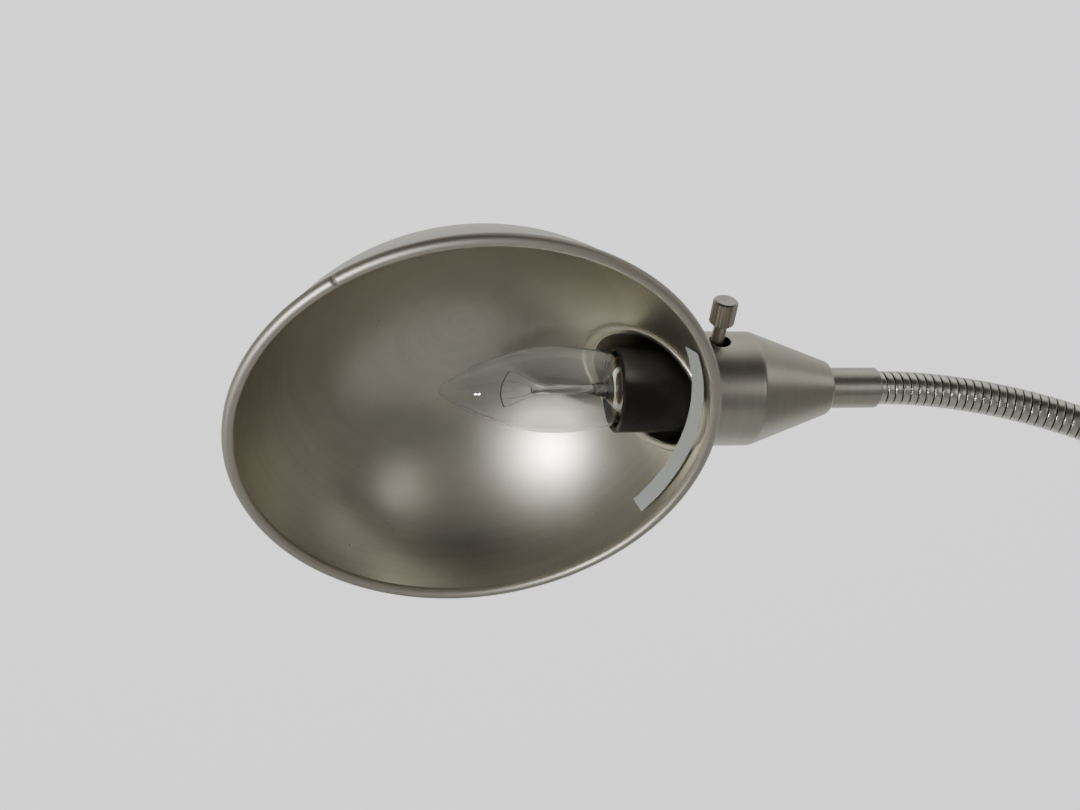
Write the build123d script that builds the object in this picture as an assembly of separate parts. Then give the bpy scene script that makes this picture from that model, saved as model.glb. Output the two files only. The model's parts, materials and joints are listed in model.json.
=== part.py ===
from build123d import *
import os
from math import acos, cos, degrees, pi, radians, sin, sqrt

os.makedirs("parts", exist_ok=True)

# Pharmacy floor lamp. Millimetres, +Z up. The origin is the centre of the base's underside,
# the pole stands on the Z axis, the gooseneck curves over towards -X and carries the head there,
# and the switch knob is on the -Y side.

# ---- base and pole
BASE_R = 127.0          # 10 in base
PAD_T = 3.0
PAD_R = 121.0
COVER_FOOT_Z = 2.0      # the cover's edge stays just off the floor
COVER_TOP_Z = 29.0
SHEET = 1.2             # spun cover
WEIGHT_R = 119.0
RECESS_R = 26.0         # pocket under the weight for the nut
RECESS_Z = 17.0
INLET_Z = 7.0           # height of the lead where it enters the base
BUSHING_BORE_R = 3.0
BUSHING_L = 9.0
BUSHING_FLANGE_R = 4.7
BUSHING_FLANGE_T = 2.0
NIPPLE_R = 6.6          # threaded tube through the base
NIPPLE_BORE_R = 4.75
POLE_R = 8.0            # 5/8 in tube
POLE_WALL = 1.2
POLE_FOOT_Z = 33.0
POLE_TOP_Z = 1160.0
COUPLER_RING = 4.0      # visible ring between two pole tubes
COUPLER_REACH = 22.0    # how far a coupler goes into each tube
LEAD_R = 2.3
LEAD_BEND = 8.0
LEAD_SHORT = 4.0        # the inner lead ends this far inside the empty bushing
FIT = 0.05              # gap between pieces that are assembled tight

# ---- gooseneck
NECK_R = 6.7
NECK_BORE_R = 4.5
NECK_BEND_R = 160.0     # radius of the quarter circle the neck is set to
NECK_BASE_Z = 1185.0
LINKS = 10
LINK_GAP = 2.0          # room for two links to lean towards each other

# ---- head, in its own frame: origin at the centre of the shade's rim, +Z to the shade's crown,
# +X out along the socket towards the gooseneck
SPHERE_R = 90.5         # shade: a spherical bowl, outer radius
SHADE_DEPTH = 66.5
SHADE_WALL = 0.9
BEAD_R = 2.2            # rolled trim ring over the shade's edge
BEAD_WALL = 0.7
BEAD_SLOT_PLAY = 0.5    # the slot is this much wider than the shade's wall
BEAD_SPLIT_AT = -126.0  # azimuth of its butt joint
BEAD_SPLIT = 0.3
SOCKET_Z = 26.8         # height of the socket's axis above the rim
CUP_R = 22.3
CUP_WALL = 0.8
CUP_SHOULDER_X = 108.3
CUP_END_X = 141.5
CUP_END_R = 10.3
CUP_LIP = 2.3           # mouth of the cup rolled over inside the shade
CONE_FLOOR_X = 136.3
FERRULE_R = 8.04
FERRULE_END_X = 162.4
THREAD_R = 5.0          # threaded tube between socket and ferrule
THREAD_BORE_R = 3.4
SOCKET_R = 16.7
SOCKET_X = 54.7
SHELL_R = 14.0          # inner wall of the socket's body
SOCKET_FLOOR_X = 87.0
SWITCH_X = 92.3         # where the switch spindle crosses the socket
SWITCH_TILT = 7.0       # the spindle points to -Y and this much up
SWITCH_BACK_X = 104.0
CAP_END_X = 118.0
SPINDLE_R = 2.6
SPINDLE_FIT = 0.08
KNOB_HOLE_R = 4.2
KNOB_HOLE_OFF = 1.2     # the hole's centre lies this far towards the gooseneck from the spindle
KNOB_FROM = 30.0        # the knob's head, measured from the socket's axis
KNOB_TO = 40.0
KNOB_R = 4.8
KNURLS = 24
KNURL_DEPTH = 0.42
BULB_TIP_X = -12.2
BULB_R = 16.6
GLASS = 0.8
SCREW_PITCH = 3.63      # medium screw base
LABEL_FROM = -26.0      # azimuths of its two ends
LABEL_TO = 33.0
LABEL_LOW = (83.6, 4.8)     # (r, z) of its edge beside the rim, clear of the cup's rolled mouth
LABEL_HIGH = (80.6, 9.8)    # its other edge stands off the wall, below the socket
LABEL_T = 0.25

SPHERE_Z = SHADE_DEPTH - SPHERE_R
RIM_R = sqrt(SPHERE_R ** 2 - SPHERE_Z ** 2)
MID_R = RIM_R - SHADE_WALL / 2
HEAD = Pos(-NECK_BEND_R - FERRULE_END_X, 0, NECK_BASE_Z + NECK_BEND_R - SOCKET_Z)
AXIS = HEAD * Pos(0, 0, SOCKET_Z)


def save(name, *pieces):
    """Write one node, which may hold several separate solids."""
    node = pieces[0] if len(pieces) == 1 else Compound(children=list(pieces))
    export_step(node, f"parts/{name}.step")


def lathe(points, radius=0.0):
    """A closed (r, z) outline turned about the Z axis."""
    outline = FilletPolyline(*points, radius=radius, close=True) if radius else Polyline(*points, close=True)
    return revolve(Plane.XZ * make_face(outline), Axis.Z)


def turned(points, radius=0.0):
    """A closed (x, r) outline turned about the socket's axis, in the head's place."""
    outline = FilletPolyline(*points, radius=radius, close=True) if radius else Polyline(*points, close=True)
    return AXIS * revolve(make_face(outline), Axis.X)


def tube(outer, inner, low, high):
    """An upright tube."""
    return lathe([(inner, low), (outer, low), (outer, high), (inner, high)])


def rod_along(path, radius):
    """A round rod that follows a path."""
    return sweep(path.location_at(0) * Circle(radius), path=path)


def hex_nut(flats, bore, thickness):
    """A hexagon nut standing on the XY plane."""
    blank = extrude(RegularPolygon(flats / 2, 6, major_radius=False), thickness)
    chamfer_cone = Cone(flats / 2 + thickness, flats / 2 - 0.2, thickness, align=(Align.CENTER, Align.CENTER, Align.MIN))
    return (blank & chamfer_cone) - Cylinder(bore, 4 * thickness)


def make_base():
    """The disc that stands on the floor: pad, iron weight, spun cover and what clamps them."""
    save("base_pad", tube(PAD_R, RECESS_R - 2, 0, PAD_T))

    hub_z = COVER_TOP_Z - SHEET
    weight = lathe([
        (NIPPLE_R + 0.4, RECESS_Z), (NIPPLE_R + 0.4, hub_z), (24, hub_z), (30, 21), (108, 15.5),
        (WEIGHT_R, 9), (WEIGHT_R, PAD_T), (RECESS_R, PAD_T), (RECESS_R, RECESS_Z),
    ])
    channel_w = 2 * BUSHING_BORE_R + 2
    channel = Pos(WEIGHT_R / 2 + 10, 0, INLET_Z - 2) * Box(WEIGHT_R, channel_w, 2 * BUSHING_BORE_R + 4)
    save("base_weight", weight - channel)

    outside = [(BASE_R, COVER_FOOT_Z), (BASE_R, 15), (116, 22.5), (34, COVER_TOP_Z), (NIPPLE_R + 0.4, COVER_TOP_Z)]
    inside = [
        (NIPPLE_R + 0.4, COVER_TOP_Z - SHEET), (33.9, COVER_TOP_Z - SHEET), (115.6, 21.3),
        (BASE_R - SHEET, 14.4), (BASE_R - SHEET, COVER_FOOT_Z),
    ]
    bends = [0, 5, 12, 40, 0, 0, 40, 11, 4, 0]
    cover = revolve(Plane.XZ * make_face(FilletPolyline(*outside, *inside, radius=bends, close=True)), Axis.Z)
    inlet = Pos(BASE_R, 0, INLET_Z) * Rot(0, 90, 0) * Cylinder(BUSHING_BORE_R + 1 + FIT, 20)
    save("base_cover", cover - inlet)

    bushing = Cylinder(BUSHING_BORE_R + 1, BUSHING_L, align=(Align.CENTER, Align.CENTER, Align.MIN))
    flange = Cylinder(BUSHING_FLANGE_R, BUSHING_FLANGE_T, align=(Align.CENTER, Align.CENTER, Align.MIN))
    flange = chamfer(flange.edges().group_by(Axis.Z)[-1], 0.6)
    bushing += Pos(0, 0, BUSHING_L - BUSHING_FLANGE_T) * flange
    bushing -= Cylinder(BUSHING_BORE_R, 4 * BUSHING_L)
    save("cord_bushing", Pos(BASE_R - BUSHING_L + BUSHING_FLANGE_T, 0, INLET_Z) * Rot(0, 90, 0) * bushing)

    washer_z = RECESS_Z - 1.5
    nut_z = washer_z - 3.5
    save("base_washer", tube(12, NIPPLE_R + 0.2, washer_z, RECESS_Z))
    save("base_nut", Pos(0, 0, nut_z) * hex_nut(19, NIPPLE_R + FIT, 3.5))
    save("base_nipple", tube(NIPPLE_R, NIPPLE_BORE_R, nut_z - 1, POLE_FOOT_Z + 20))
    save("pole_collar", lathe([
        (NIPPLE_R + 0.1, COVER_TOP_Z), (20, COVER_TOP_Z), (20, 31.5), (12.5, 35), (9.8, 41), (9.8, 44),
        (POLE_R + FIT, 44), (POLE_R + FIT, POLE_FOOT_Z), (NIPPLE_R + 0.1, POLE_FOOT_Z),
    ]))


def make_pole():
    """Three tubes screwed together with ringed couplers, the lower ferrule and the lead inside."""
    bore = POLE_R - POLE_WALL
    plug_r = bore - FIT
    length = (POLE_TOP_Z - POLE_FOOT_Z - 2 * COUPLER_RING) / 3
    low = POLE_FOOT_Z
    for name in ("lower", "middle", "upper"):
        save(f"pole_{name}", tube(POLE_R, bore, low, low + length))
        low += length
        if name != "upper":
            ring = COUPLER_RING
            save(f"pole_coupler_{name}", lathe([
                (LEAD_R + 2, low - COUPLER_REACH), (plug_r, low - COUPLER_REACH), (plug_r, low), (POLE_R, low),
                (POLE_R + 0.7, low + 0.8), (POLE_R + 0.7, low + ring - 0.8), (POLE_R, low + ring),
                (plug_r, low + ring), (plug_r, low + ring + COUPLER_REACH), (LEAD_R + 2, low + ring + COUPLER_REACH),
            ]))
            low += ring
    top = NECK_BASE_Z - LINK_GAP / 2
    save("lower_ferrule", lathe([
        (LEAD_R + 2, POLE_TOP_Z - COUPLER_REACH), (plug_r, POLE_TOP_Z - COUPLER_REACH), (plug_r, POLE_TOP_Z),
        (POLE_R, POLE_TOP_Z), (POLE_R + 0.9, POLE_TOP_Z + 0.9), (POLE_R + 0.9, POLE_TOP_Z + 5),
        (FERRULE_R, POLE_TOP_Z + 6), (FERRULE_R, top - 0.6), (FERRULE_R - 0.6, top), (LEAD_R + 2, top),
    ]))
    start_x = BASE_R - BUSHING_L - LEAD_SHORT
    route = FilletPolyline((start_x, 0, INLET_Z), (0, 0, INLET_Z), (0, 0, top), radius=LEAD_BEND)
    save("stand_lead", rod_along(route, LEAD_R))


def neck_plane(turn):
    """The plane across the neck, this many degrees along its arc."""
    a = radians(turn)
    centre = (-NECK_BEND_R * (1 - cos(a)), 0, NECK_BASE_Z + NECK_BEND_R * sin(a))
    return Plane(origin=centre, x_dir=(0, 1, 0), z_dir=(-sin(a), 0, cos(a)))


def neck_arc(section, start, turn):
    """A section swept along the neck's arc."""
    hub = Axis((-NECK_BEND_R, 0, NECK_BASE_Z), (0, -1, 0))
    return revolve(neck_plane(start) * section, hub, revolution_arc=turn)


def make_neck():
    """Flexible neck as short links, each with its stretch of lead. The last one belongs to the head."""
    pitch = 90 / LINKS
    trim = degrees(LINK_GAP / 2 / NECK_BEND_R)
    for k in range(LINKS):
        start = k * pitch + trim
        end = (k + 1) * pitch - (trim if k < LINKS - 1 else 0)
        save(f"neck_link_{k + 1:02d}", neck_arc(Circle(NECK_R) - Circle(NECK_BORE_R), start, end - start))
        save(f"neck_lead_{k + 1:02d}", neck_arc(Circle(LEAD_R), start, end - start))


def bowl(outer):
    """The solid ball cap inside a spherical surface of this radius, above the rim's plane."""
    return Pos(0, 0, SPHERE_Z) * Sphere(outer)


def make_shade():
    """Spun bowl, its split trim ring and the blank label inside the rim."""
    inner = SPHERE_R - SHADE_WALL
    ball = bowl(SPHERE_R) - bowl(inner)
    keep = Pos(0, 0, -1.0) * Cylinder(2 * SPHERE_R, 2 * SPHERE_R, align=(Align.CENTER, Align.CENTER, Align.MIN))
    mouth = Pos(0, 0, SOCKET_Z) * Rot(0, 90, 0) * Cylinder(
        CUP_R + 2 * FIT, 2 * SPHERE_R, align=(Align.CENTER, Align.CENTER, Align.MIN)
    )
    save("shade", HEAD * ((ball & keep) - mouth))

    lean = 90 - degrees(acos(-SPHERE_Z / SPHERE_R))
    slot = Rot(0, 0, lean) * Pos(0, BEAD_R) * Rectangle(SHADE_WALL + BEAD_SLOT_PLAY, 2 * BEAD_R)
    ring = Pos(MID_R, 0) * (Circle(BEAD_R) - Circle(BEAD_R - BEAD_WALL) - slot)
    gap = degrees(BEAD_SPLIT / MID_R)
    bead = revolve(Plane.XZ * ring, Axis.Z, revolution_arc=360 - gap)
    save("shade_rim", HEAD * Rot(0, 0, BEAD_SPLIT_AT) * bead)

    strip = Polyline(LABEL_LOW, LABEL_HIGH, (LABEL_HIGH[0] - LABEL_T, LABEL_HIGH[1]),
                     (LABEL_LOW[0] - LABEL_T, LABEL_LOW[1]), close=True)
    label = revolve(Plane.XZ * make_face(strip), Axis.Z, revolution_arc=LABEL_TO - LABEL_FROM)
    save("shade_label", HEAD * Rot(0, 0, LABEL_FROM) * label)


def knob_plane():
    """Across the switch spindle, at the socket's axis, facing out along the spindle."""
    tilt = radians(SWITCH_TILT)
    return Plane(origin=(SWITCH_X, 0, 0), x_dir=(1, 0, 0), z_dir=(0, -cos(tilt), sin(tilt)))


def make_cup():
    """The spun cup that covers the socket, with the tube and nut that fasten it."""
    inner = CUP_R - CUP_WALL
    inner_end = CUP_END_R + (CUP_R - CUP_END_R) * (CUP_END_X - CONE_FLOOR_X) / (CUP_END_X - CUP_SHOULDER_X) - 1.0
    outline = [
        (30, inner), (30, CUP_R), (CUP_SHOULDER_X, CUP_R), (CUP_END_X, CUP_END_R), (CUP_END_X, THREAD_R + 0.1),
        (CONE_FLOOR_X, THREAD_R + 0.1), (CONE_FLOOR_X, inner_end), (CUP_SHOULDER_X - 0.3, inner),
    ]
    body = revolve(make_face(FilletPolyline(*outline, radius=[0, 0, 4, 2, 0, 0, 0, 3.4], close=True)), Axis.X)
    shade_inner = SPHERE_R - SHADE_WALL
    body = body - Pos(0, 0, -SOCKET_Z) * bowl(shade_inner - 0.3)
    lip = Pos(0, 0, -SOCKET_Z) * (bowl(shade_inner - 0.02) - bowl(shade_inner - 0.02 - CUP_WALL))
    band = Rot(0, 90, 0) * (Cylinder(CUP_R + CUP_LIP, 200) - Cylinder(inner, 200))
    half = Pos(100, 0, 0) * Box(200, 200, 200)
    body += lip & band & half
    body -= knob_plane() * Pos(KNOB_HOLE_OFF, 0, CUP_R) * Cylinder(KNOB_HOLE_R, CUP_R)
    save("socket_cup", AXIS * body)

    save("cup_tube", turned([(111, THREAD_BORE_R), (111, THREAD_R), (150, THREAD_R), (150, THREAD_BORE_R)]))
    save("cup_washer", turned([
        (CONE_FLOOR_X - 1.3, THREAD_R + 0.1), (CONE_FLOOR_X - 1.3, 8.6), (CONE_FLOOR_X, 8.6),
        (CONE_FLOOR_X, THREAD_R + 0.1),
    ]))
    nut = Rot(0, 90, 0) * hex_nut(14, THREAD_R + FIT, 3)
    save("cup_nut", AXIS * Pos(CONE_FLOOR_X - 4.3, 0, 0) * nut)
    bore = THREAD_R + 0.1
    save("upper_ferrule", turned([
        (CUP_END_X, bore), (CUP_END_X, FERRULE_R), (FERRULE_END_X - 0.5, FERRULE_R),
        (FERRULE_END_X, FERRULE_R - 0.5), (FERRULE_END_X, LEAD_R + 2), (151, LEAD_R + 2), (151, bore),
    ]))


def screw_wave(start, turns, crest, depth):
    """The outer side of a rolled screw shell, as (x, r) points along its turns."""
    points = []
    for k in range(turns):
        x = start + k * SCREW_PITCH
        points += [(x, crest - depth), (x + SCREW_PITCH * 0.3, crest), (x + SCREW_PITCH * 0.7, crest)]
    points.append((start + turns * SCREW_PITCH, crest - depth))
    return points


def thin_screw(start, turns, crest, depth, wall):
    """A rolled screw shell: the same wave outside and inside."""
    outer = screw_wave(start, turns, crest, depth)
    inner = [(x, r - wall) for x, r in reversed(outer)]
    return outer + inner


def make_socket():
    """Phenolic lampholder with its brass parts and rotary switch."""
    rim = SOCKET_X
    floor = SOCKET_FLOOR_X
    save("socket_body", turned([
        (rim + 0.8, SHELL_R + 0.6), (rim, SHELL_R + 1.4), (rim, SOCKET_R - 0.9), (rim + 0.9, SOCKET_R),
        (floor + 2.5, SOCKET_R), (floor + 2.5, 3.2), (floor, 3.2), (floor, SHELL_R + 0.6),
    ]))
    save("screw_shell", turned(thin_screw(rim + 5, 6, SHELL_R + 0.5, 0.7, 0.35)))
    strip = FilletPolyline((floor - 0.3, -8), (floor - 0.3, 3), (floor - 2.6, 5), (floor - 2.6, -4), radius=0.8)
    leaf = extrude(trace(strip, 0.5), 3, both=True)
    save("centre_contact", AXIS * Rot(90, 0, 0) * leaf)

    switch = turned([(floor + 2.5, 0), (floor + 2.5, SOCKET_R), (SWITCH_BACK_X, SOCKET_R), (SWITCH_BACK_X, 0)])
    bore = knob_plane() * Pos(0, 0, 9) * Cylinder(
        SPINDLE_R + SPINDLE_FIT, 20, align=(Align.CENTER, Align.CENTER, Align.MIN)
    )
    save("switch_body", switch - AXIS * bore)
    save("socket_cap", turned([
        (SWITCH_BACK_X, SOCKET_R), (SWITCH_BACK_X, SOCKET_R - 1.5), (110, SOCKET_R - 2.5), (112, 9),
        (112, THREAD_R + FIT), (CAP_END_X, THREAD_R + FIT), (CAP_END_X, 8), (112.5, 11), (109, SOCKET_R),
    ]))
    screws = [AXIS * Pos(SWITCH_BACK_X, 0, side * 9) * Rot(0, 90, 0) * terminal_screw() for side in (1, -1)]
    save("terminal_screws", *screws)

    wires = []
    for side in (1, -1):
        path = FilletPolyline(
            (130, 0, side * 1.35), (110.6, 0, side * 1.35), (108.6, 0, side * 7), (106.4, 0, side * 9), radius=1.6
        )
        wires.append(AXIS * rod_along(path, 1.1))
    save("socket_wires", *wires)
    lead = Pos(130.1, 0, 0) * Rot(0, 90, 0) * Cylinder(
        LEAD_R, FERRULE_END_X - 130.1, align=(Align.CENTER, Align.CENTER, Align.MIN)
    )
    save("head_lead", AXIS * lead)


def terminal_screw():
    """A slotted round head that stands on the XY plane."""
    head = Cylinder(3, 1.8, align=(Align.CENTER, Align.CENTER, Align.MIN))
    head = chamfer(head.edges().group_by(Axis.Z)[-1], 0.4)
    return head - Pos(0, 0, 1.8) * Box(8, 0.8, 1.4)


def make_knob():
    """Switch spindle with its knurled knob, one turned piece."""
    ridge = []
    for k in range(2 * KNURLS):
        r = KNOB_R - (KNURL_DEPTH if k % 2 else 0)
        a = pi * k / KNURLS
        ridge.append((r * cos(a), r * sin(a)))
    length = KNOB_TO - KNOB_FROM
    head = extrude(make_face(Polyline(*ridge, close=True)), length)
    ends = revolve(Plane.XZ * make_face(Polyline(
        (0, 0), (KNOB_R - 0.6, 0), (KNOB_R + 0.1, 0.7), (KNOB_R + 0.1, length - 0.9),
        (KNOB_R - 0.9, length - 0.15), (0, length), close=True,
    )), Axis.Z)
    spindle = Cylinder(SPINDLE_R, KNOB_FROM - 10, align=(Align.CENTER, Align.CENTER, Align.MIN))
    knob = Pos(0, 0, 10) * spindle + Pos(0, 0, KNOB_FROM) * (head & ends)
    save("switch_knob", AXIS * (knob_plane() * knob))


def bulb_outline(inset):
    """Half outline of the candle bulb's glass, as (x, r) points, moved in by a wall."""
    stations = [(0, 0), (3.2, 3.4), (14, 9.4), (28, 14.2), (43, BULB_R), (54, 15.7), (63.5, 13.3), (69.5, 12.1)]
    points = []
    for along, r in stations:
        points.append((BULB_TIP_X + along + (inset if along == 0 else 0), max(r - inset, 0)))
    return points


def bulb_solid(inset):
    """The bulb's glass filled solid."""
    points = bulb_outline(inset)
    side = Spline(*points, tangents=[(0.25, 1), (1, -0.1)])
    end_x, end_r = points[-1]
    tail = Polyline(side @ 1, (end_x + 3, end_r), (end_x + 3, 0), side @ 0)
    return AXIS * revolve(make_face([side, tail]), Axis.X)


def make_bulb():
    """Clear candle bulb on a medium screw base."""
    neck_end = BULB_TIP_X + 72.5
    save("bulb_glass", bulb_solid(0) - bulb_solid(GLASS))
    save("bulb_base", turned(
        [(neck_end - 3.5, 12.35), (neck_end - 3.5, 12.75)]
        + thin_screw(neck_end, 5, 13.05, 0.55, 0.4)[:16]
        + [(80.6, 9.0), (80.2, 8.6)]
        + thin_screw(neck_end, 5, 13.05, 0.55, 0.4)[16:]
    ))
    save("bulb_insulator", turned([(79.4, 0), (79.4, 8.4), (80.7, 8.4), (82.6, 4.4), (82.6, 0)]))
    save("bulb_contact", turned([(82.6, 0), (82.6, 4.2), (83.4, 3.4), (83.9, 0)]))
    save("bulb_stem", turned([
        (neck_end, 0), (neck_end, 10.4), (neck_end - 0.8, 10.4), (neck_end - 4, 5), (neck_end - 9, 2.6),
        (neck_end - 25, 2.3), (neck_end - 31, 1.1), (neck_end - 33, 1.9), (neck_end - 35, 0),
    ]))
    post_x = neck_end - 24
    tip_x = neck_end - 46
    wires = []
    for side in (1, -1):
        path = FilletPolyline(
            (post_x + 4, 2.9 * side, 0), (post_x - 8, 4.0 * side, 0), (tip_x, 8.5 * side, 0), radius=3
        )
        wires.append(AXIS * rod_along(path, 0.35))
    save("bulb_wires", *wires)
    arc = ThreePointArc((tip_x - 0.4, -8.5, 0), (tip_x - 4, 0, 0), (tip_x - 0.4, 8.5, 0))
    save("bulb_filament", AXIS * rod_along(arc, 0.45))


make_base()
make_pole()
make_neck()
make_shade()
make_cup()
make_socket()
make_knob()
make_bulb()
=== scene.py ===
import json
from math import atan2, cos, pi, radians, sin, sqrt

import bmesh
import bpy
from mathutils import Matrix, Vector


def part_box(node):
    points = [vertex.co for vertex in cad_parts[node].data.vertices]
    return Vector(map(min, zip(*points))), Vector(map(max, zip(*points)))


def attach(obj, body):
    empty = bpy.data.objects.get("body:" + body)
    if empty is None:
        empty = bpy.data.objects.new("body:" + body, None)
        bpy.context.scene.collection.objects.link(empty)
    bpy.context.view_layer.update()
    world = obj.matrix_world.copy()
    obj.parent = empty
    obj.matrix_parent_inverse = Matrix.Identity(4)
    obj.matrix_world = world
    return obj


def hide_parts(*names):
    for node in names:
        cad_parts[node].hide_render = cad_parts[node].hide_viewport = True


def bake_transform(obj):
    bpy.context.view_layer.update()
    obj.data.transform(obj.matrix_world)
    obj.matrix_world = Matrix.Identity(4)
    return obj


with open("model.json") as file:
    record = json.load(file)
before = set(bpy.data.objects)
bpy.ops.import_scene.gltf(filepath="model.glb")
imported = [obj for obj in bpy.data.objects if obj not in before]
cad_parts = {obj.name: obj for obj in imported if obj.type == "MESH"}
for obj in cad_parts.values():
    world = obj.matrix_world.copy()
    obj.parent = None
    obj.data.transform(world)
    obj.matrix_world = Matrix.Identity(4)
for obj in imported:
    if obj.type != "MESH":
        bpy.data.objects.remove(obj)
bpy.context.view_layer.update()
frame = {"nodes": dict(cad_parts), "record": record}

# ---- places and sizes in metres, read from the frame where it holds them

JOINTS = {j["name"]: j for j in frame["record"]["behaviour"]["joints"]}
RIM_LOW, RIM_HIGH = (Vector(corner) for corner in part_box("shade_rim"))
SHADE_HIGH = Vector(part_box("shade")[1])
CUP_LOW = Vector(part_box("socket_cup")[0])
GLASS_LOW = Vector(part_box("bulb_glass")[0])
SOCKET_Z = JOINTS["switch_turn"]["pos_m"][2]
BEAD_R = 0.0022
RIM_CENTRE = Vector(((RIM_LOW.x + RIM_HIGH.x) / 2, 0.0, RIM_LOW.z + BEAD_R))
BEAD_MID_R = (RIM_HIGH.x - RIM_LOW.x) / 2 - BEAD_R
WALL = 0.0009
DEPTH = SHADE_HIGH.z - RIM_CENTRE.z
SPHERE_R = (BEAD_MID_R ** 2 + DEPTH ** 2) / (2 * DEPTH)
SPHERE_CENTRE = Vector((RIM_CENTRE.x, 0.0, SHADE_HIGH.z - SPHERE_R))
AXIS_POINT = Vector((RIM_CENTRE.x, 0.0, SOCKET_Z))
CUP_R = 0.0223
SHADE_FOOT = -0.0010    # the bowl's edge, from the rim's middle line, inside the bead
CUT_SLACK = 0.00005     # between the cup and the hole cut for it in the bowl
CUT_FROM = -0.02        # the cutter's two ends along X, from the cup's mouth
CUT_TO = 0.12

# ---- gooseneck
LINKS = 10
NECK_R = 0.0067
NECK_BORE_R = 0.0046
STRIP_R = NECK_R - 0.00004
BANDS = 75
GROOVE = 0.10           # share of the pitch
GROOVE_DEPTH = 0.0005
NECK_BASE = Vector(JOINTS["neck_bend_1"]["pos_m"])
NECK_BEND_R = SOCKET_Z - NECK_BASE.z
NECK_LENGTH = NECK_BEND_R * pi / 2

# ---- the camera, set out from the rim's centre
CAMERA_AT = Vector((-0.0601, -0.2983, -0.3037))
CAMERA_RIGHT = Vector((0.9816, -0.1236, -0.1456))
CAMERA_FORWARD = Vector((0.1908, 0.6672, 0.7200))
LENS_MM = 40.0

# ---- the room's light: what the lamp reflects, and the backdrop that the camera sees
ROOM_DARK = (0.012, 0.011, 0.009)
ROOM_LOW = (0.035, 0.033, 0.029)
ROOM_SIDE = (0.30, 0.295, 0.285)
ROOM_PALE = (0.80, 0.80, 0.80)
BACKDROP_LOW = (1.38, 1.38, 1.40)
BACKDROP_HIGH = (1.50, 1.50, 1.52)
FLOOR_COLOUR = (0.22, 0.22, 0.217)
FLOOR_GLOW = 0.62       # added for the camera only
FLOOR_R = 3.2

# ---- finishes
NICKEL = (0.60, 0.575, 0.495)
RIM_NICKEL = (0.52, 0.49, 0.425)
MARK_STRETCH = 0.0012   # how little the turning marks change on the way round
MARK_SLOPE = 0.61       # lets the marks show on flat faces as well as on straight ones


def place_camera():
    data = bpy.data.cameras.new("camera")
    data.lens = LENS_MM
    data.sensor_width = 36.0
    data.clip_start = 0.01
    data.clip_end = 60.0
    camera = bpy.data.objects.new("camera", data)
    bpy.context.scene.collection.objects.link(camera)
    forward = CAMERA_FORWARD.normalized()
    right = (CAMERA_RIGHT - CAMERA_RIGHT.dot(forward) * forward).normalized()
    up = right.cross(forward)
    turn = Matrix((right, up, -forward)).transposed()
    camera.matrix_world = Matrix.Translation(RIM_CENTRE + CAMERA_AT) @ turn.to_4x4()
    bpy.context.scene.camera = camera
    return right, up, forward


# ---- material building


def new_material(name):
    material = bpy.data.materials.new(name)
    material.use_nodes = True
    tree = material.node_tree
    return material, tree, tree.nodes["Principled BSDF"]


def node(tree, kind, **values):
    made = tree.nodes.new(kind)
    for key, value in values.items():
        setattr(made, key, value)
    return made


def maths(tree, operation, a, b=None, clamp=False):
    made = node(tree, "ShaderNodeMath", operation=operation, use_clamp=clamp)
    for index, value in enumerate((a, b)):
        if value is None:
            continue
        if isinstance(value, (int, float)):
            made.inputs[index].default_value = value
        else:
            tree.links.new(value, made.inputs[index])
    return made.outputs[0]


def noise(tree, vector, scale, detail=3.0, rough=0.55):
    made = node(tree, "ShaderNodeTexNoise")
    made.inputs["Scale"].default_value = scale
    made.inputs["Detail"].default_value = detail
    made.inputs["Roughness"].default_value = rough
    tree.links.new(vector, made.inputs["Vector"])
    return made.outputs["Fac"]


def spread(tree, value, low, high, to_low, to_high):
    made = node(tree, "ShaderNodeMapRange")
    made.inputs["From Min"].default_value = low
    made.inputs["From Max"].default_value = high
    made.inputs["To Min"].default_value = to_low
    made.inputs["To Max"].default_value = to_high
    tree.links.new(value, made.inputs["Value"])
    return made.outputs["Result"]


def blend_colour(tree, factor, a, b):
    made = node(tree, "ShaderNodeMix", data_type="RGBA")
    tree.links.new(factor, made.inputs["Factor"])
    for socket, value in ((made.inputs["A"], a), (made.inputs["B"], b)):
        if isinstance(value, tuple):
            socket.default_value = (*value, 1.0)
        else:
            tree.links.new(value, socket)
    return made.outputs["Result"]


def bump(tree, height, strength, distance, normal=None):
    made = node(tree, "ShaderNodeBump")
    made.inputs["Strength"].default_value = strength
    made.inputs["Distance"].default_value = distance
    tree.links.new(height, made.inputs["Height"])
    if normal is not None:
        tree.links.new(normal, made.inputs["Normal"])
    return made.outputs["Normal"]


def place(tree, centre):
    """Position on the object measured from a centre."""
    coords = node(tree, "ShaderNodeTexCoord")
    shift = node(tree, "ShaderNodeVectorMath", operation="SUBTRACT")
    shift.inputs[1].default_value = centre
    tree.links.new(coords.outputs["Object"], shift.inputs[0])
    return shift.outputs["Vector"]


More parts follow.
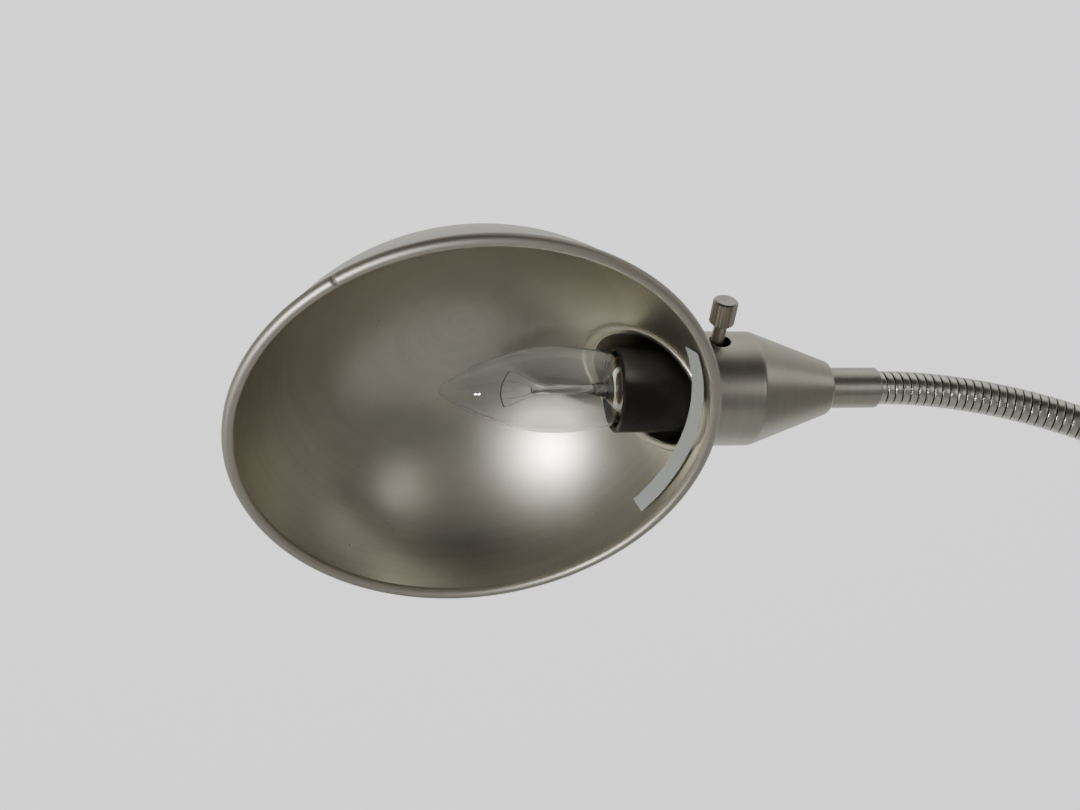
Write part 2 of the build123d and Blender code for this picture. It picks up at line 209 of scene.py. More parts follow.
def lathe_coords(tree, centre, axis):
    """Coordinates that run along the tool marks of a piece turned about an axis."""
    split = node(tree, "ShaderNodeSeparateXYZ")
    tree.links.new(place(tree, centre), split.inputs[0])
    x, y, z = (split.outputs[i] for i in range(3))
    along, a, b = {"X": (x, y, z), "Z": (z, x, y)}[axis]
    squares = [maths(tree, "MULTIPLY", side, side) for side in (a, b)]
    radius = maths(tree, "SQRT", maths(tree, "ADD", *squares))
    side_a = maths(tree, "DIVIDE", a, radius)
    side_b = maths(tree, "DIVIDE", b, radius)
    level = maths(tree, "ADD", along, maths(tree, "MULTIPLY", radius, MARK_SLOPE))
    joined = node(tree, "ShaderNodeCombineXYZ")
    tree.links.new(level, joined.inputs[0])
    tree.links.new(maths(tree, "MULTIPLY", side_a, MARK_STRETCH), joined.inputs[1])
    tree.links.new(maths(tree, "MULTIPLY", side_b, MARK_STRETCH), joined.inputs[2])
    return joined.outputs[0]


def brushed(name, centre, axis, colour, rough, aniso, grain=0.10, wear=0.5):
    """Satin nickel with turning marks around an axis, cloudy handling marks and faint dark freckles."""
    material, tree, shader = new_material(name)
    marks = lathe_coords(tree, centre, axis)
    fine = noise(tree, marks, 5200.0, 4.0, 0.7)
    broad = noise(tree, marks, 700.0, 3.0, 0.6)
    where = place(tree, centre)
    cloud = noise(tree, where, 26.0, 4.0, 0.6)
    freckle = noise(tree, where, 620.0, 2.0, 0.5)
    dark = tuple(c * 0.95 for c in colour)
    light = tuple(min(1.0, c * 1.03) for c in colour)
    warm = (colour[0] * 0.93, colour[1] * 0.88, colour[2] * 0.80)
    base = blend_colour(tree, spread(tree, broad, 0.30, 0.70, 0.0, 1.0), dark, light)
    base = blend_colour(tree, spread(tree, cloud, 0.50, 0.78, 0.0, wear), base, warm)
    spots = spread(tree, freckle, 0.765, 0.80, 0.0, 0.75)
    base = blend_colour(tree, spots, base, (0.13, 0.09, 0.06))
    tree.links.new(base, shader.inputs["Base Color"])
    shader.inputs["Metallic"].default_value = 1.0
    shader.inputs["Anisotropic"].default_value = aniso
    tangent = node(tree, "ShaderNodeTangent", direction_type="RADIAL", axis=axis)
    tree.links.new(tangent.outputs[0], shader.inputs["Tangent"])
    changes = [spread(tree, fine, 0.3, 0.7, -0.012, 0.012), spread(tree, cloud, 0.3, 0.7, -0.02, 0.03)]
    total = maths(tree, "ADD", *changes)
    tree.links.new(maths(tree, "ADD", total, rough, clamp=True), shader.inputs["Roughness"])
    coarse = bump(tree, broad, grain, 0.00006)
    tree.links.new(bump(tree, fine, grain, 0.00003, coarse), shader.inputs["Normal"])
    return material


def moulded(name, colour, rough, grain_scale=900.0, grain=0.12, dust=0.25, metallic=0.0):
    """A moulded or cast surface: even colour with dust, small pores and roughness changes."""
    material, tree, shader = new_material(name)
    where = place(tree, (0.0, 0.0, 0.0))
    pores = noise(tree, where, grain_scale, 3.0)
    cloud = noise(tree, where, 45.0, 5.0, 0.65)
    dusty = tuple(c + (0.35 - c) * 0.12 for c in colour)
    base = blend_colour(tree, spread(tree, cloud, 0.45, 0.75, 0.0, dust), colour, dusty)
    tree.links.new(base, shader.inputs["Base Color"])
    shader.inputs["Metallic"].default_value = metallic
    tree.links.new(spread(tree, cloud, 0.3, 0.7, rough - 0.06, rough + 0.08), shader.inputs["Roughness"])
    tree.links.new(bump(tree, pores, grain, 0.0001), shader.inputs["Normal"])
    return material


def clear_glass(name, tint=(0.985, 0.992, 0.99)):
    """Clear glass with a faint film of dust and slow waves."""
    material, tree, shader = new_material(name)
    where = place(tree, (0.0, 0.0, 0.0))
    film = noise(tree, where, 60.0, 4.0, 0.6)
    filmed = tuple(c * 0.985 for c in tint)
    tree.links.new(blend_colour(tree, film, tint, filmed), shader.inputs["Base Color"])
    shader.inputs["Transmission Weight"].default_value = 1.0
    shader.inputs["IOR"].default_value = 1.46
    tree.links.new(spread(tree, film, 0.45, 0.8, 0.0, 0.03), shader.inputs["Roughness"])
    tree.links.new(bump(tree, noise(tree, where, 110.0, 1.0), 0.05, 0.0002), shader.inputs["Normal"])
    return material


def felt_material(name):
    material, tree, shader = new_material(name)
    where = place(tree, (0.0, 0.0, 0.0))
    fibres = noise(tree, where, 2600.0, 5.0, 0.75)
    cloud = noise(tree, where, 80.0, 3.0)
    base = blend_colour(tree, fibres, (0.012, 0.012, 0.013), (0.07, 0.07, 0.072))
    tree.links.new(blend_colour(tree, spread(tree, cloud, 0.5, 0.8, 0.0, 0.4), base, (0.10, 0.095, 0.09)),
                   shader.inputs["Base Color"])
    shader.inputs["Roughness"].default_value = 0.95
    shader.inputs["Sheen Weight"].default_value = 0.3
    tree.links.new(bump(tree, fibres, 0.6, 0.0006), shader.inputs["Normal"])
    return material


def paper_material(name):
    """Grey-white blank paper with a faint border line, fibres and a little soiling."""
    material, tree, shader = new_material(name)
    where = place(tree, RIM_CENTRE)
    split = node(tree, "ShaderNodeSeparateXYZ")
    tree.links.new(where, split.inputs[0])
    fibres = noise(tree, where, 1500.0, 4.0)
    soil = noise(tree, where, 120.0, 4.0)
    base = blend_colour(tree, fibres, (0.31, 0.33, 0.31), (0.38, 0.40, 0.37))
    base = blend_colour(tree, spread(tree, soil, 0.55, 0.8, 0.0, 0.5), base, (0.52, 0.50, 0.45))
    low, high = (corner[2] - RIM_CENTRE.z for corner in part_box("shade_label"))
    band = maths(tree, "ABSOLUTE", maths(tree, "SUBTRACT", split.outputs[2], (low + high) / 2))
    line = maths(tree, "SUBTRACT", 1.0, maths(tree, "MULTIPLY", maths(
        tree, "ABSOLUTE", maths(tree, "SUBTRACT", band, (high - low) * 0.40)), 9000.0), clamp=True)
    tree.links.new(blend_colour(tree, maths(tree, "MULTIPLY", line, 0.6), base, (0.30, 0.31, 0.32)),
                   shader.inputs["Base Color"])
    shader.inputs["Roughness"].default_value = 0.6
    tree.links.new(bump(tree, fibres, 0.2, 0.0001), shader.inputs["Normal"])
    return material


def wrap_coords(tree, centre):
    """Coordinates along the neck's arc, stretched across it, so that streaks follow the bands."""
    split = node(tree, "ShaderNodeSeparateXYZ")
    tree.links.new(place(tree, centre), split.inputs[0])
    turn = maths(tree, "ARCTAN2", split.outputs[2], split.outputs[0])
    joined = node(tree, "ShaderNodeCombineXYZ")
    tree.links.new(maths(tree, "MULTIPLY", turn, NECK_BEND_R), joined.inputs[0])
    tree.links.new(maths(tree, "MULTIPLY", split.outputs[1], 0.06), joined.inputs[1])
    return joined.outputs[0]


def neck_material(name, colour):
    """Wound strip: streaks that follow the bands, warm cloudy patches, and painted shade, dark brown, in
    the grooves.
    """
    material, tree, shader = new_material(name)
    centre = (NECK_BASE.x - NECK_BEND_R, 0.0, NECK_BASE.z)
    along = noise(tree, wrap_coords(tree, centre), 2600.0, 3.0, 0.6)
    where = place(tree, centre)
    cloud = noise(tree, where, 40.0, 4.0)
    # the strip's per-point painted shade, darkest in the grooves
    depth = node(tree, "ShaderNodeAttribute", attribute_name="groove_shade")
    dull = tuple(c * 0.88 for c in colour)
    base = blend_colour(tree, spread(tree, along, 0.35, 0.65, 0.0, 1.0), dull, colour)
    base = blend_colour(tree, spread(tree, cloud, 0.5, 0.8, 0.0, 0.5), base, (0.56, 0.52, 0.45))
    # painted shade: darkens the grooves and their edges to brown, by the strip's per-point value
    base = blend_colour(tree, depth.outputs["Fac"], base, (0.10, 0.085, 0.068))
    tree.links.new(base, shader.inputs["Base Color"])
    shader.inputs["Metallic"].default_value = 1.0
    tree.links.new(spread(tree, cloud, 0.3, 0.7, 0.27, 0.35), shader.inputs["Roughness"])
    return material


# ---- mesh building

SHORT_RUN = 30          # a wire with fewer points than this is smoothed


def mesh_object(name, vertices, faces, material, slot, body="head", replaces=()):
    """A smooth-shaded piece, riding a body when one is given; otherwise the caller may join it to one
    later.
    """
    mesh = bpy.data.meshes.new(name)
    mesh.from_pydata([tuple(v) for v in vertices], [], faces)
    mesh.validate()
    work = bmesh.new()
    work.from_mesh(mesh)
    bmesh.ops.recalc_face_normals(work, faces=work.faces)
    work.to_mesh(mesh)
    work.free()
    mesh.materials.append(material)
    for face in mesh.polygons:
        face.use_smooth = True
    piece = bpy.data.objects.new(name, mesh)
    bpy.context.scene.collection.objects.link(piece)
    if replaces:
        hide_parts(*replaces)
    if body:
        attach(piece, body)
    return piece


def grid_faces(rows, columns, closed_rows=True):
    """Quads over a grid of vertices kept row by row, each row a closed loop."""
    faces = []
    for i in range(rows if closed_rows else rows - 1):
        for j in range(columns):
            a = i * columns + j
            b = i * columns + (j + 1) % columns
            c = ((i + 1) % rows) * columns + (j + 1) % columns
            d = ((i + 1) % rows) * columns + j
            faces.append((a, b, c, d))
    return faces


def lathe(name, outline, origin, material, steps=128, **keys):
    """A closed (along, radius) outline turned about a line along X through a point."""
    vertices = []
    for along, radius in outline:
        for j in range(steps):
            a = 2 * pi * j / steps
            vertices.append(origin + Vector((along, 0, 0)) + Vector((0, cos(a), sin(a))) * radius)
    mesh_object(name, vertices, grid_faces(len(outline), steps), material, **keys)


def band_samples():
    """Across one band, as (share of the pitch, height, darkness of the painted shade): groove, edge, crown,
    edge.
    """
    edge = [(GROOVE / 2 + past, height, dark) for past, height, dark in
            ((0.0, 0.0, 1.0), (0.015, 0.55, 0.75), (0.05, 0.9, 0.12), (0.11, 1.0, 0.0))]
    far_edge = [(1 - share, height, dark) for share, height, dark in reversed(edge)]
    return [(0.0, 0.0, 1.0), *edge, (0.5, 1.06, 0.0), *far_edge]


def strip_piece(name, first, last, material, replaces=()):
    """The neck's wound strip from one band to another. Each point carries a darkness value that paints
    shade into the grooves and onto their edges.
    """
    samples = band_samples()
    steps = 56
    rows = []
    for turn in range(first, last):
        rows += [(turn + share, STRIP_R - GROOVE_DEPTH * (1 - height), dark)
                 for share, height, dark in samples]
    rows.append((last, STRIP_R - GROOVE_DEPTH, 1.0))
    inner = [(turn, NECK_BORE_R, 1.0) for turn in range(last, first - 1, -1)]
    vertices = []
    # painted shade for each point: dark in the grooves and the bore, fading up the edges
    shade = []
    for turns, radius, dark in rows + inner:
        for j in range(steps):
            a = 2 * pi * j / steps
            length = (turns + a / (2 * pi) - 0.5) * NECK_LENGTH / BANDS
            theta = length / NECK_BEND_R
            out = Vector((cos(theta), 0, sin(theta)))
            centre = Vector((NECK_BASE.x - NECK_BEND_R, 0, NECK_BASE.z)) + out * NECK_BEND_R
            vertices.append(centre + (out * cos(a) + Vector((0, 1, 0)) * sin(a)) * radius)
            shade.append(dark)
    count = len(rows) + len(inner)
    faces = helix_faces(count, steps, len(rows), len(samples))
    piece = mesh_object(name, vertices, faces, material, body=None, slot="neck_nickel", replaces=replaces)
    # the painted groove shade, kept on the points for the strip's material
    layer = piece.data.attributes.new("groove_shade", "FLOAT", "POINT")
    layer.data.foreach_set("value", shade)
    return piece


def make_neck(material):
    """Strips across the joints, from the middle of a link to the middle of the next. At the
    last joint, beside the head, two rigid halves meet instead. One band at each end of the neck is
    inside a ferrule."""
    for number in range(1, LINKS):
        first = round((number - 1.5) * BANDS / LINKS) if number > 1 else -1
        last = round((number - 0.5) * BANDS / LINKS)
        piece = strip_piece(f"neck_strip_{number:02d}", first, last, material, (f"neck_link_{number:02d}",))
        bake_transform(piece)
    middle = round((LINKS - 1.5) * BANDS / LINKS)
    joint = round((LINKS - 1) * BANDS / LINKS)
    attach(strip_piece("neck_strip_10_lower", middle, joint, material), "neck_09")
    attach(strip_piece("neck_strip_10_upper", joint, BANDS + 1, material, ("neck_link_10",)), "head")


def helix_faces(rows, steps, outer_rows, per_turn):
    """Quads of a tube whose rows climb one turn per round, so the last column joins a later row."""
    faces = []
    for i in range(rows):
        nxt = (i + 1) % rows
        for j in range(steps - 1):
            faces.append((i * steps + j, i * steps + j + 1, nxt * steps + j + 1, nxt * steps + j))

    def partner(i):
        """The row that this row's last column meets at its first column."""
        if i < outer_rows:
            return i + per_turn
        return i - 1

    for i in range(rows):
        nxt = (i + 1) % rows
        a, b = partner(i), partner(nxt)
        if i < outer_rows - 1 and a < outer_rows and b < outer_rows:
            faces.append((i * steps + steps - 1, a * steps, b * steps, nxt * steps + steps - 1))
        if i >= outer_rows and nxt > i and a >= outer_rows and b >= outer_rows:
            faces.append((i * steps + steps - 1, a * steps, b * steps, nxt * steps + steps - 1))
    return faces


def make_shade(material):
    """The bowl, cut by the cup's mouth, with exact sphere normals so that it reflects smoothly."""
    inner = SPHERE_R - WALL
    steps, rings = 288, 72
    mesh = bpy.data.meshes.new("shade_bowl")
    work = bmesh.new()

    def ring_row(radius, polar):
        return [work.verts.new(SPHERE_CENTRE + Vector((
            radius * sin(polar) * cos(2 * pi * j / steps), radius * sin(polar) * sin(2 * pi * j / steps),
            radius * cos(polar)))) for j in range(steps)]

    def polar_of(radius):
        height = RIM_CENTRE.z + SHADE_FOOT - SPHERE_CENTRE.z
        return atan2(sqrt(radius ** 2 - height ** 2), height)

    skins = []
    for radius in (SPHERE_R, inner):
        top = work.verts.new(SPHERE_CENTRE + Vector((0, 0, radius)))
        rows = [ring_row(radius, polar_of(radius) * (k + 1) / rings) for k in range(rings)]
        for j in range(steps):
            work.faces.new((top, rows[0][j], rows[0][(j + 1) % steps]))
        for k in range(rings - 1):
            for j in range(steps):
                n = (j + 1) % steps
                work.faces.new((rows[k][j], rows[k + 1][j], rows[k + 1][n], rows[k][n]))
        skins.append(rows)
    for j in range(steps):
        n = (j + 1) % steps
        work.faces.new((skins[0][-1][j], skins[1][-1][j], skins[1][-1][n], skins[0][-1][n]))
    bmesh.ops.recalc_face_normals(work, faces=work.faces)
    work.to_mesh(mesh)
    work.free()
    mesh.materials.append(material)
    piece = bpy.data.objects.new("shade_bowl", mesh)
    bpy.context.scene.collection.objects.link(piece)
    cutter = cylinder_cutter(CUP_R + CUT_SLACK, CUP_LOW.x + CUT_FROM, CUP_LOW.x + CUT_TO)
    modifier = piece.modifiers.new("mouth", "BOOLEAN")
    modifier.object = cutter
    modifier.operation = "DIFFERENCE"
    modifier.solver = "EXACT"
    settle(piece)
    bpy.data.objects.remove(cutter, do_unlink=True)
    sphere_normals(piece.data)
    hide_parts("shade")
    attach(piece, "head")


def cylinder_cutter(radius, low_x, high_x):
    """A cylinder along the cup's axis, for cutting."""
    mesh = bpy.data.meshes.new("cutter")
    work = bmesh.new()
    spin = Matrix.Translation((0, 0, SOCKET_Z)) @ Matrix.Rotation(radians(90), 4, "Y")
    matrix = Matrix.Translation(((low_x + high_x) / 2, 0, 0)) @ spin
    bmesh.ops.create_cone(work, cap_ends=True, segments=192, radius1=radius, radius2=radius,
                          depth=high_x - low_x, matrix=matrix)
    work.to_mesh(mesh)
    work.free()
    cutter = bpy.data.objects.new("cutter", mesh)
    bpy.context.scene.collection.objects.link(cutter)
    return cutter


def settle(piece):
    """Replace a piece's mesh with what its modifiers make of it."""
    bpy.context.view_layer.update()
    graph = bpy.context.evaluated_depsgraph_get()
    made = bpy.data.meshes.new_from_object(piece.evaluated_get(graph))
    old = piece.data
    piece.modifiers.clear()
    piece.data = made
    made.name = old.name
    bpy.data.meshes.remove(old)


def sphere_normals(mesh):
    """Give every corner of the bowl its true spherical normal, except on cut edges."""
    normals = []
    for face in mesh.polygons:
        face.use_smooth = True
        out = (face.center - SPHERE_CENTRE).normalized()
        side = face.normal.dot(out)
        for loop in face.loop_indices:
            spot = mesh.vertices[mesh.loops[loop].vertex_index].co
            radial = (spot - SPHERE_CENTRE).normalized()
            if abs(side) > 0.9:
                normals.append(radial if side > 0 else -radial)
            else:
                normals.append(face.normal.copy())
    mesh.normals_split_custom_set(normals)


def make_cup_lip(material):
    """The cup's mouth, rolled back over the shade's inner wall."""
    steps = 200
    inner = SPHERE_R - WALL
    profile = [(-0.0008, 0.0006), (-0.0008, -0.0004), (-0.0003, -0.0009), (0.0006, -0.0011),
               (0.0015, -0.0010), (0.0021, -0.0006), (0.0023, 0.0000), (0.0016, 0.0002),
               (0.0006, 0.0003), (0.0001, 0.0010)]
    vertices = []
    for j in range(steps):
        a = 2 * pi * j / steps
        for out, back in profile:
            radius = CUP_R + out
            y, z = radius * cos(a), radius * sin(a)
            height = SOCKET_Z + z - SPHERE_CENTRE.z
            reach = inner + back
            x = sqrt(max(reach ** 2 - y * y - height ** 2, 1e-9))
            vertices.append(Vector((SPHERE_CENTRE.x + x, y, SOCKET_Z + z)))
    mesh_object("cup_mouth_roll", vertices, grid_faces(steps, len(profile)), material, slot="satin_nickel")


def make_rim(material):
    """The trim ring: a rolled bead, split by a butt joint whose two ends are a little thinner."""
    split = radians(-126.0)
    gap = 0.00014 / BEAD_MID_R
    thinning, thinning_reach = 0.015, 0.0012
    steps = 360
    section = ring_section()
    vertices = []
    for i in range(steps + 1):
        share = i / steps
        a = split + gap / 2 + (2 * pi - gap) * share
        ease = min(share, 1 - share) * 2 * pi * BEAD_MID_R
        pinch = thinning * max(0.0, 1 - ease / thinning_reach)
        for dr, dz in section:
            r = BEAD_MID_R + dr * (1 - pinch)
            vertices.append(RIM_CENTRE + Vector((r * cos(a), r * sin(a), dz * (1 - pinch))))
    width = len(section)
    faces = grid_faces(steps + 1, width, closed_rows=False)
    faces.append(tuple(range(width)))
    faces.append(tuple(steps * width + j for j in range(width)))
    mesh_object("shade_trim_ring", vertices, faces, material, slot="satin_nickel",
                replaces=("shade_rim",))


def ring_section():
    """The trim ring's section about the rim's middle line: a round bead, a little flatter inside."""
    points = []
    for k in range(36):
        a = radians(90 - k * 10)
        squeeze = 0.94 if cos(a) < -0.17 else 1.0
        points.append((BEAD_R * cos(a) * squeeze, BEAD_R * sin(a)))
    return points


def bulb_profile(inset):
    """Candle shape as (along, radius) from the tip. The stations and the inset are in millimetres."""
    stations = [(0, 0), (0.6, 1.55), (3.2, 3.5), (8, 6.5), (14, 9.5), (21, 12.2), (28, 14.3), (36, 16.0),
                (44, 16.6), (50, 16.4), (56, 15.75), (61.5, 14.9), (66, 14.2), (69, 13.3), (71, 12.6),
                (72.5, 12.2)]
    fine = catmull([Vector((a, r, 0)) for a, r in stations], 7)
    out = []
    for k, p in enumerate(fine):
        before, after = fine[max(k - 1, 0)], fine[min(k + 1, len(fine) - 1)]
        slope = (after - before).normalized()
        normal = Vector((slope.y, -slope.x, 0))
        q = p + normal * inset
        out.append((q.x / 1000, max(q.y, 0.02) / 1000))
    return out


def catmull(points, steps):
    """A smooth curve through points."""
    made = []
    for i in range(len(points) - 1):
        p0, p1 = points[max(i - 1, 0)], points[i]
        p2, p3 = points[i + 1], points[min(i + 2, len(points) - 1)]
        for k in range(steps):
            t = k / steps
            made.append(0.5 * (2 * p1 + (p2 - p0) * t + (2 * p0 - 5 * p1 + 4 * p2 - p3) * t * t
                               + (3 * p1 - p0 - 3 * p2 + p3) * t ** 3))
    made.append(points[-1])
    return made


def make_bulb(glass, wire, tungsten, stem_glass):
    """Clear blown envelope with its glass stem, lead-in wires, supports and filament."""
    tip = Vector((GLASS_LOW.x + 0.00003, 0, SOCKET_Z))
    wall_mm = 0.55
    outline = bulb_profile(0.0) + list(reversed(bulb_profile(wall_mm)))
    lathe("bulb_envelope", outline, tip, glass, slot="clear_glass", replaces=("bulb_glass",))
    base = 0.0725
    stem = [(base - back, radius) for back, radius in (
        (0.0005, 0.0112), (0.003, 0.0104), (0.006, 0.0062), (0.009, 0.0034), (0.014, 0.0020),
        (0.024, 0.0017), (0.030, 0.0016), (0.0315, 0.0012), (0.0335, 0.0011), (0.0355, 0.0020),
        (0.0370, 0.0013), (0.0374, 0.00002), (0.0002, 0.00002))]
    lathe("bulb_mount", stem, tip, stem_glass, steps=48, slot="clear_glass", replaces=("bulb_stem",))
    post = base - 0.030
    top = base - 0.046
    coil_half, coil_sag, coil_r, coil_turns, coil_steps = 0.0090, 0.0022, 0.00022, 50, 400
    runs = []
    for side in (1, -1):
        runs.append([(post + 0.012, 0.0016 * side, 0), (post, 0.0026 * side, 0),
                     (post - 0.007, 0.0040 * side, 0.0004), (top + 0.002, 0.0082 * side, 0.0003),
                     (top - 0.0008, coil_half * side, 0)])
    for dz in (0.0052, -0.0052):
        runs.append([(base - 0.0362, 0, 0), (base - 0.0395, 0, dz * 0.6), (top - 0.001, 0, dz)])
    joined_tubes("bulb_lead_wires", runs, 0.00011, wire, tip, slot="wire", replaces=("bulb_wires",))
    coil = []
    for k in range(coil_steps + 1):
        share = k / coil_steps
        y = coil_half - 2 * coil_half * share
        bow = 1 - (2 * share - 1) ** 2
        phase = share * 2 * pi * coil_turns
        coil.append((top - 0.0006 - coil_sag * bow + coil_r * cos(phase), y, coil_r * sin(phase)))
    joined_tubes("bulb_coil", [coil], 0.00006, tungsten, tip, sides=6, slot="tungsten",
                 replaces=("bulb_filament",))


def joined_tubes(name, runs, radius, material, origin, sides=10, **keys):
    """Round wires along lists of points, as one mesh. A short list is smoothed, a coil is not."""
    vertices, faces = [], []
    for run in runs:
        points = [origin + Vector(p) for p in run]
        if len(points) < SHORT_RUN:
            points = catmull(points, 6)
        base = len(vertices)
        side = Vector((0, 0, 1))
        for k, p in enumerate(points):
            ahead = (points[min(k + 1, len(points) - 1)] - points[max(k - 1, 0)]).normalized()
            side = (side - side.dot(ahead) * ahead).normalized()
            other = ahead.cross(side)
            for j in range(sides):
                a = 2 * pi * j / sides
                vertices.append(p + (side * cos(a) + other * sin(a)) * radius)
        for k in range(len(points) - 1):
            for j in range(sides):
                n = (j + 1) % sides
                row = base + k * sides
                faces.append((row + j, row + n, row + sides + n, row + sides + j))
        faces.append(tuple(base + j for j in range(sides)))
        end = base + (len(points) - 1) * sides
        faces.append(tuple(end + j for j in range(sides)))
    mesh_object(name, vertices, faces, material, **keys)


def give(material, *names):
    """Put a material on CAD nodes."""
    for name in names:
        piece = frame["nodes"][name]
        if piece.material_slots:
            for place_on in piece.material_slots:
                place_on.material = material
        else:
            piece.data.materials.append(material)


# ---- lights, background and floor


def area_light(name, at, target, size, power):
    data = bpy.data.lights.new(name, "AREA")
    data.shape = "DISK"
    data.size = size
    data.energy = power
    light = bpy.data.objects.new(name, data)
    light.location = at
    light.visible_camera = False
    light.rotation_euler = (Vector(target) - Vector(at)).to_track_quat("-Z", "Y").to_euler()
    bpy.context.scene.collection.objects.link(light)


def light_scene(right, up, forward):
    """A dim room behind the camera and a pale wall ahead of it for the lamp to reflect, a paler backdrop
    for the camera, a small flash beside the camera and five soft lights."""
    world = bpy.data.worlds.new("studio")
    world.use_nodes = True
    tree = world.node_tree
    tree.nodes.clear()
    path = node(tree, "ShaderNodeLightPath")
    coords = node(tree, "ShaderNodeTexCoord")
    facing = node(tree, "ShaderNodeVectorMath", operation="DOT_PRODUCT")
    facing.inputs[1].default_value = forward
    tree.links.new(coords.outputs["Generated"], facing.inputs[0])
    ramp = node(tree, "ShaderNodeValToRGB")
    ramp.color_ramp.elements[0].position = 0.0
    ramp.color_ramp.elements[0].color = (*ROOM_DARK, 1.0)
    ramp.color_ramp.elements[1].position = 1.0
    ramp.color_ramp.elements[1].color = (*ROOM_PALE, 1.0)
    for position, colour in ((0.36, ROOM_LOW), (0.54, ROOM_SIDE)):
        ramp.color_ramp.elements.new(position).color = (*colour, 1.0)
    tree.links.new(spread(tree, facing.outputs["Value"], -1.0, 1.0, 0.0, 1.0), ramp.inputs[0])
    split = node(tree, "ShaderNodeSeparateXYZ")
    tree.links.new(coords.outputs["Generated"], split.inputs[0])
    rise = spread(tree, split.outputs[2], 0.2, 0.95, 0.0, 1.0)
    seen = blend_colour(tree, rise, BACKDROP_LOW, BACKDROP_HIGH)
    both = blend_colour(tree, path.outputs["Is Camera Ray"], ramp.outputs["Color"], seen)
    back = node(tree, "ShaderNodeBackground")
    tree.links.new(both, back.inputs["Color"])
    out = node(tree, "ShaderNodeOutputWorld")
    tree.links.new(back.outputs[0], out.inputs[0])
    bpy.context.scene.world = world
    eye = RIM_CENTRE + CAMERA_AT
    flash_at = eye - right * 0.27 - up * 0.16 + forward * 0.03
    area_light("flash", flash_at, RIM_CENTRE + Vector((0, 0, 0.02)), 0.04, 2.3)
    area_light("ceiling", (-1.2, 1.4, 2.7), (-0.3, 0, 1.0), 1.6, 4.0)
    area_light("side", (1.8, -1.0, 1.25), (-0.2, 0, 1.3), 0.9, 1.6)
    head = AXIS_POINT + Vector((0.12, 0, 0))
    for name, way, far, size, power in (
            ("upper", (0.40, -0.70, 0.58), 1.5, 1.2, 1.5),
            ("window", (0.47, -0.61, -0.63), 1.2, 0.42, 0.40),
            ("low_wall", (0.30, 0.52, -0.80), 1.1, 1.3, 0.7)):
        area_light(name, head + Vector(way) * far, head, size, power)


def floor_material():
    """Pale and plain to the eye, but giving little light back to the lamp's underside."""
    material, tree, shader = new_material("floor_pale")
    shader.inputs["Base Color"].default_value = (*FLOOR_COLOUR, 1.0)
    shader.inputs["Roughness"].default_value = 0.8
    path = node(tree, "ShaderNodeLightPath")
    shader.inputs["Emission Color"].default_value = (1.0, 1.0, 1.0, 1.0)
    glow = maths(tree, "MULTIPLY", path.outputs["Is Camera Ray"], FLOOR_GLOW)
    tree.links.new(glow, shader.inputs["Emission Strength"])
    return material


def make_floor():
    mesh = bpy.data.meshes.new("floor")
    work = bmesh.new()
    below = Matrix.Translation((0, 0, -0.0002))
    bmesh.ops.create_circle(work, cap_ends=True, segments=96, radius=FLOOR_R, matrix=below)
    work.to_mesh(mesh)
    work.free()
    floor = bpy.data.objects.new("floor", mesh)
    bpy.context.scene.collection.objects.link(floor)
    mesh.materials.append(floor_material())


right, up, forward = place_camera()
light_scene(right, up, forward)
make_floor()

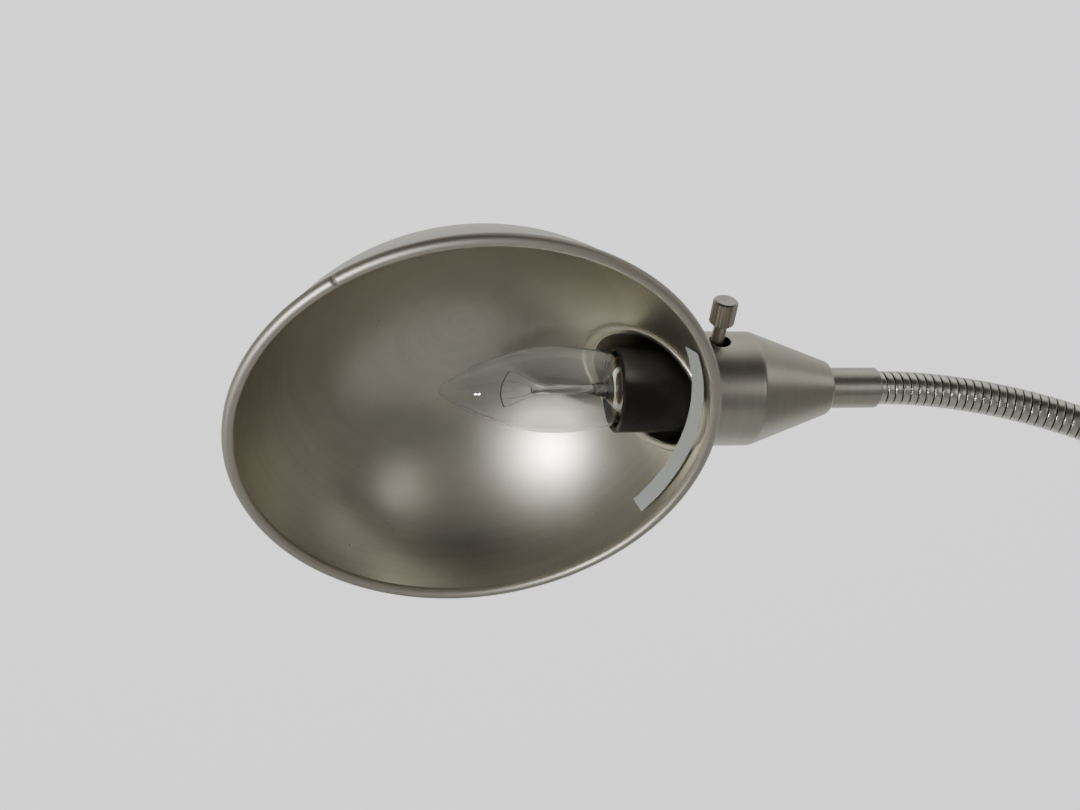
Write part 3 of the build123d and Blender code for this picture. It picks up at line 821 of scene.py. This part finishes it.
shade_metal = brushed("nickel_shade", tuple(RIM_CENTRE), "Z", NICKEL, rough=0.31, aniso=0.1, grain=0.0)
rim_metal = brushed("nickel_rim", tuple(RIM_CENTRE), "Z", RIM_NICKEL, rough=0.50, aniso=0.05, grain=0.25,
                    wear=0.7)
cup_metal = brushed("nickel_cup", tuple(AXIS_POINT), "X", NICKEL, rough=0.34, aniso=0.4, grain=0.03)
pole_metal = brushed("nickel_pole", (0.0, 0.0, 0.0), "Z", NICKEL, rough=0.30, aniso=0.4)
base_metal = brushed("nickel_base", (0.0, 0.0, 0.0), "Z", NICKEL, rough=0.32, aniso=0.5)
strip_metal = neck_material("nickel_strip", (0.86, 0.84, 0.77))
knob_metal = moulded("nickel_knob", (0.58, 0.53, 0.46), 0.34, 700.0, 0.15, 0.5, metallic=1.0)
zinc = moulded("zinc_plate", (0.62, 0.62, 0.60), 0.30, 800.0, 0.1, 0.3, metallic=1.0)
brass = moulded("brass", (0.58, 0.37, 0.18), 0.42, 800.0, 0.1, 0.4, metallic=1.0)
iron = moulded("cast_iron", (0.05, 0.05, 0.052), 0.75, 500.0, 0.6, 0.4, metallic=0.6)
phenolic = moulded("phenolic", (0.008, 0.007, 0.006), 0.42, 1200.0, 0.06, 0.35)
phenolic.node_tree.nodes["Principled BSDF"].inputs["Specular IOR Level"].default_value = 0.25
nylon = moulded("nylon", (0.02, 0.02, 0.022), 0.5)
vinyl = moulded("vinyl", (0.35, 0.35, 0.33), 0.5)
vitrite = moulded("vitrite", (0.012, 0.012, 0.02), 0.15)
solder = moulded("solder", (0.55, 0.55, 0.57), 0.45, 500.0, 0.4, 0.3, metallic=1.0)
wire_metal = moulded("nickel_wire", (0.45, 0.43, 0.41), 0.35, metallic=1.0)
filament_metal = moulded("tungsten", (0.22, 0.22, 0.23), 0.45, metallic=1.0)
glass = clear_glass("bulb_glass_clear")
stem_glass = clear_glass("bulb_glass_stem", (0.95, 0.97, 0.98))

make_shade(shade_metal)
make_cup_lip(cup_metal)
make_rim(rim_metal)
make_bulb(glass, wire_metal, filament_metal, stem_glass)
make_neck(strip_metal)

give(cup_metal, "socket_cup", "upper_ferrule")
give(pole_metal, "pole_lower", "pole_middle", "pole_upper", "pole_coupler_lower", "pole_coupler_middle",
     "lower_ferrule")
give(base_metal, "base_cover", "pole_collar")
give(knob_metal, "switch_knob")
give(zinc, "base_washer", "base_nut", "base_nipple", "cup_tube", "cup_nut", "cup_washer")
give(brass, "screw_shell", "centre_contact", "terminal_screws", "bulb_base")
give(iron, "base_weight")
give(felt_material("felt"), "base_pad")
give(phenolic, "socket_body", "switch_body", "socket_cap")
give(nylon, "cord_bushing")
give(vinyl, "stand_lead", "head_lead", "socket_wires", *[f"neck_lead_{k:02d}" for k in range(1, LINKS + 1)])
give(vitrite, "bulb_insulator")
give(solder, "bulb_contact")
give(paper_material("label_paper"), "shade_label")
